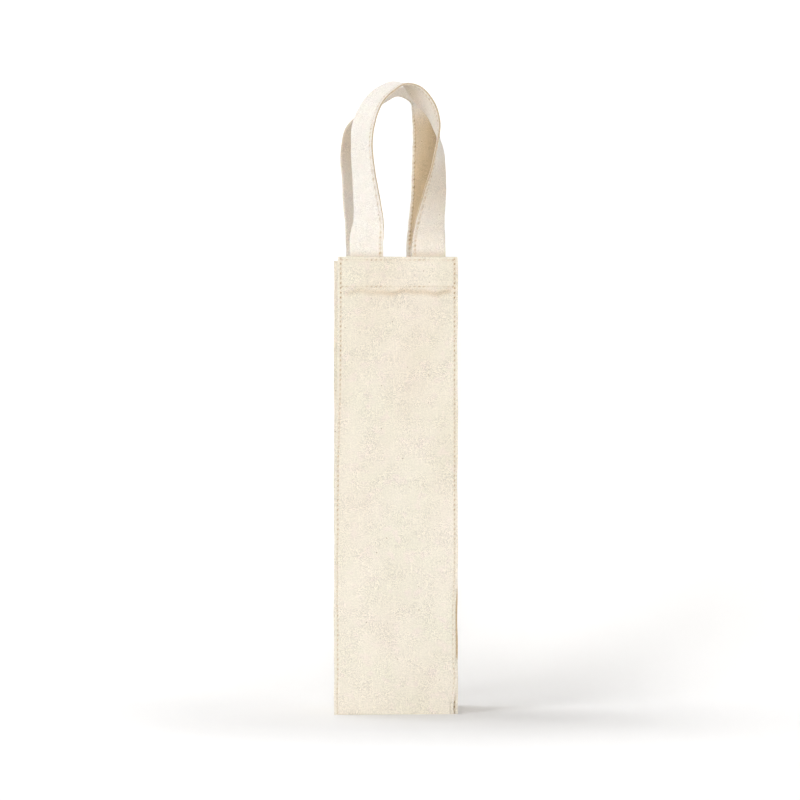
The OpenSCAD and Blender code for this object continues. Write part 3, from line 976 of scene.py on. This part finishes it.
made = {}
for back, own in enumerate(HALVES):
    made[own] = place(panel(back), "canvas", own, own + "_panel")
    made[own + "_allowance"] = place(allowance(back), "canvas", own, "base_" + own + "_seam")
    for side, hand in HANDS.items():
        node = f"{hand}_{own}"
        made[node + "_margin"] = place(margin(side, back), "canvas", own, node + "_seam")
    for kind, rows in zip(("edge", "hem"), half_rows(back)):
        thread = stitch_rows(f"{own}_{kind}_thread", rows)
        made[f"{own}_{kind}_thread"] = place(thread, "thread", own, f"{own}_{kind}_stitches")
    strap = handle(back)
    seam = stitch_rows(own + "_strap_thread", strap_row(back), STRAP_STITCH_RADIUS)
    for piece, slot in ((strap, "canvas"), (seam, "thread")):
        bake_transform(piece)
    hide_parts(own + "_handle", own + "_handle_tails")

for side, hand in HANDS.items():
    made[hand + "_gusset"] = cloth = gusset(side)
    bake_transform(cloth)
    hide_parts(f"{hand}_gusset_front", f"{hand}_gusset_back")
    for back, own in enumerate(HALVES):
        name = f"{hand}_gusset_{own}"
        thread = stitch_rows(name + "_thread", [gusset_row(side, back, level) for level in HEM_ROWS])
        made[name + "_thread"] = place(thread, "thread", name + "_half", name + "_stitches")
    made[hand + "_gore"] = flap = place(gore(side), "canvas", "front", f"base_{hand}_gore")
    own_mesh(flap)

made["base"] = floor_cloth = base()
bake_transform(floor_cloth)
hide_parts("base_front", "base_back")


# Stage, light and camera


def sweep():
    """White floor that curves up into a wall behind the bag: a profile of floor, quarter circle and wall
    drawn out to both sides. It is seen from its lit side only, and to the camera it is a little whiter far
    from the bag, so that the ground fades to white round the bag's shadow."""
    start, radius, depth, wall, reach = 0.075, 0.30, 4.0, 3.0, 4.0
    fade_from, fade_to, glow_far, glow_near = 0.13, 0.38, 0.18, 0.025
    a = np.linspace(0, np.pi / 2, 25)
    y = np.concatenate([[-depth], start + radius * np.sin(a), [start + radius]])
    z = np.concatenate([[0.0], radius * (1 - np.cos(a)), [wall]])
    x = np.linspace(-reach, reach, 3)
    grid = joined(x[:, None], y[None], z[None])
    ids = np.arange(grid[..., 0].size).reshape(grid.shape[:2])
    faces = quads(ids[:, :-1], ids[:, 1:])
    mesh = bpy.data.meshes.new("sweep")
    mesh.from_pydata(grid.reshape(-1, 3).tolist(), [], faces.tolist())
    mesh.polygons.foreach_set("use_smooth", np.ones(len(faces), bool))
    paint, tree, _ = new_material("white_sweep")
    tree.nodes.clear()
    seen = wire(tree, "LightPath").outputs["Is Camera Ray"]
    matt = wire(tree, "BsdfDiffuse", {"Color": (0.95, 0.95, 0.955, 1)})
    spot = wire(tree, "TexCoord").outputs["Object"]
    away = wire(tree, "VectorMath", {0: spot}, operation="LENGTH").outputs["Value"]
    strength = calc(tree, "MULTIPLY_ADD", ramp(tree, away, fade_from, fade_to), glow_far, glow_near)
    strength = calc(tree, "MULTIPLY", seen, strength)
    glow = wire(tree, "Emission", {"Color": WHITE, "Strength": strength})
    both = wire(tree, "AddShader", {0: matt.outputs[0], 1: glow.outputs[0]})
    clear = wire(tree, "BsdfTransparent")
    rear = wire(tree, "NewGeometry").outputs["Backfacing"]
    chosen = wire(tree, "MixShader", {0: rear, 1: both.outputs[0], 2: clear.outputs[0]})
    wire(tree, "OutputMaterial", {0: chosen.outputs[0]})
    mesh.materials.append(paint)
    in_scene("sweep", mesh)


def aimed(name, data, at, aim):
    """A lamp or a camera at its place, turned about X and then about Z so that it faces its aim."""
    holder = in_scene(name, data)
    holder.location = at
    way = np.array(aim) - np.array(at)
    pitch = math.atan2(math.hypot(way[0], way[1]), -way[2])
    holder.rotation_euler = (pitch, 0, math.atan2(-way[0], way[1]))
    return holder


def lamp(name, at, aim, size, power, colour=(1, 1, 1)):
    """A square soft lamp."""
    light = bpy.data.lights.new(name, "AREA")
    light.shape, light.size, light.energy, light.color = "SQUARE", size, power, colour
    aimed(name, light, at, aim)


def world_light():
    """An even, faint white room, which the camera sees as white."""
    world = bpy.data.worlds.new("room")
    bpy.context.scene.world = world
    world.use_nodes = True
    tree = world.node_tree
    seen = wire(tree, "LightPath").outputs["Is Camera Ray"]
    strength = wire(tree, "Mix", {0: seen, 2: 0.05, 3: 1.0}, data_type="FLOAT").outputs[0]
    feed(tree, tree.nodes["Background"], {"Color": WHITE, "Strength": strength})


def camera():
    """A long lens far in front and a little to the left, aimed at the middle of the photograph's frame."""
    view = bpy.data.cameras.new("camera")
    view.lens, view.sensor_width = 141.2, 36.0
    view.clip_start, view.clip_end = 0.05, 50.0
    bpy.context.scene.camera = aimed("camera", view, (-0.150, -2.640, 0.261), (0.0019, -0.040, 0.261))


sweep()
world_light()
# Each lamp's place, aim, size in metres, watts and colour
MIDDLE = (0, 0, 0.26)
lamp("key", (-1.5, -1.3, 1.6), MIDDLE, 0.8, 19.5)
lamp("fill", (1.4, -2.4, 0.5), MIDDLE, 1.6, 15, (1.0, 0.97, 0.93))
lamp("front", (-0.4, -2.8, 0.55), MIDDLE, 1.2, 31.5, (1.0, 0.99, 0.97))
lamp("top", (-0.35, 0.27, 1.7), (-0.05, 0, 0.1), 0.5, 7)
lamp("right", (2.2, -0.7, 1.1), MIDDLE, 0.9, 8, (1.0, 0.97, 0.93))
camera()
bpy.context.scene.view_settings.view_transform = "Standard"
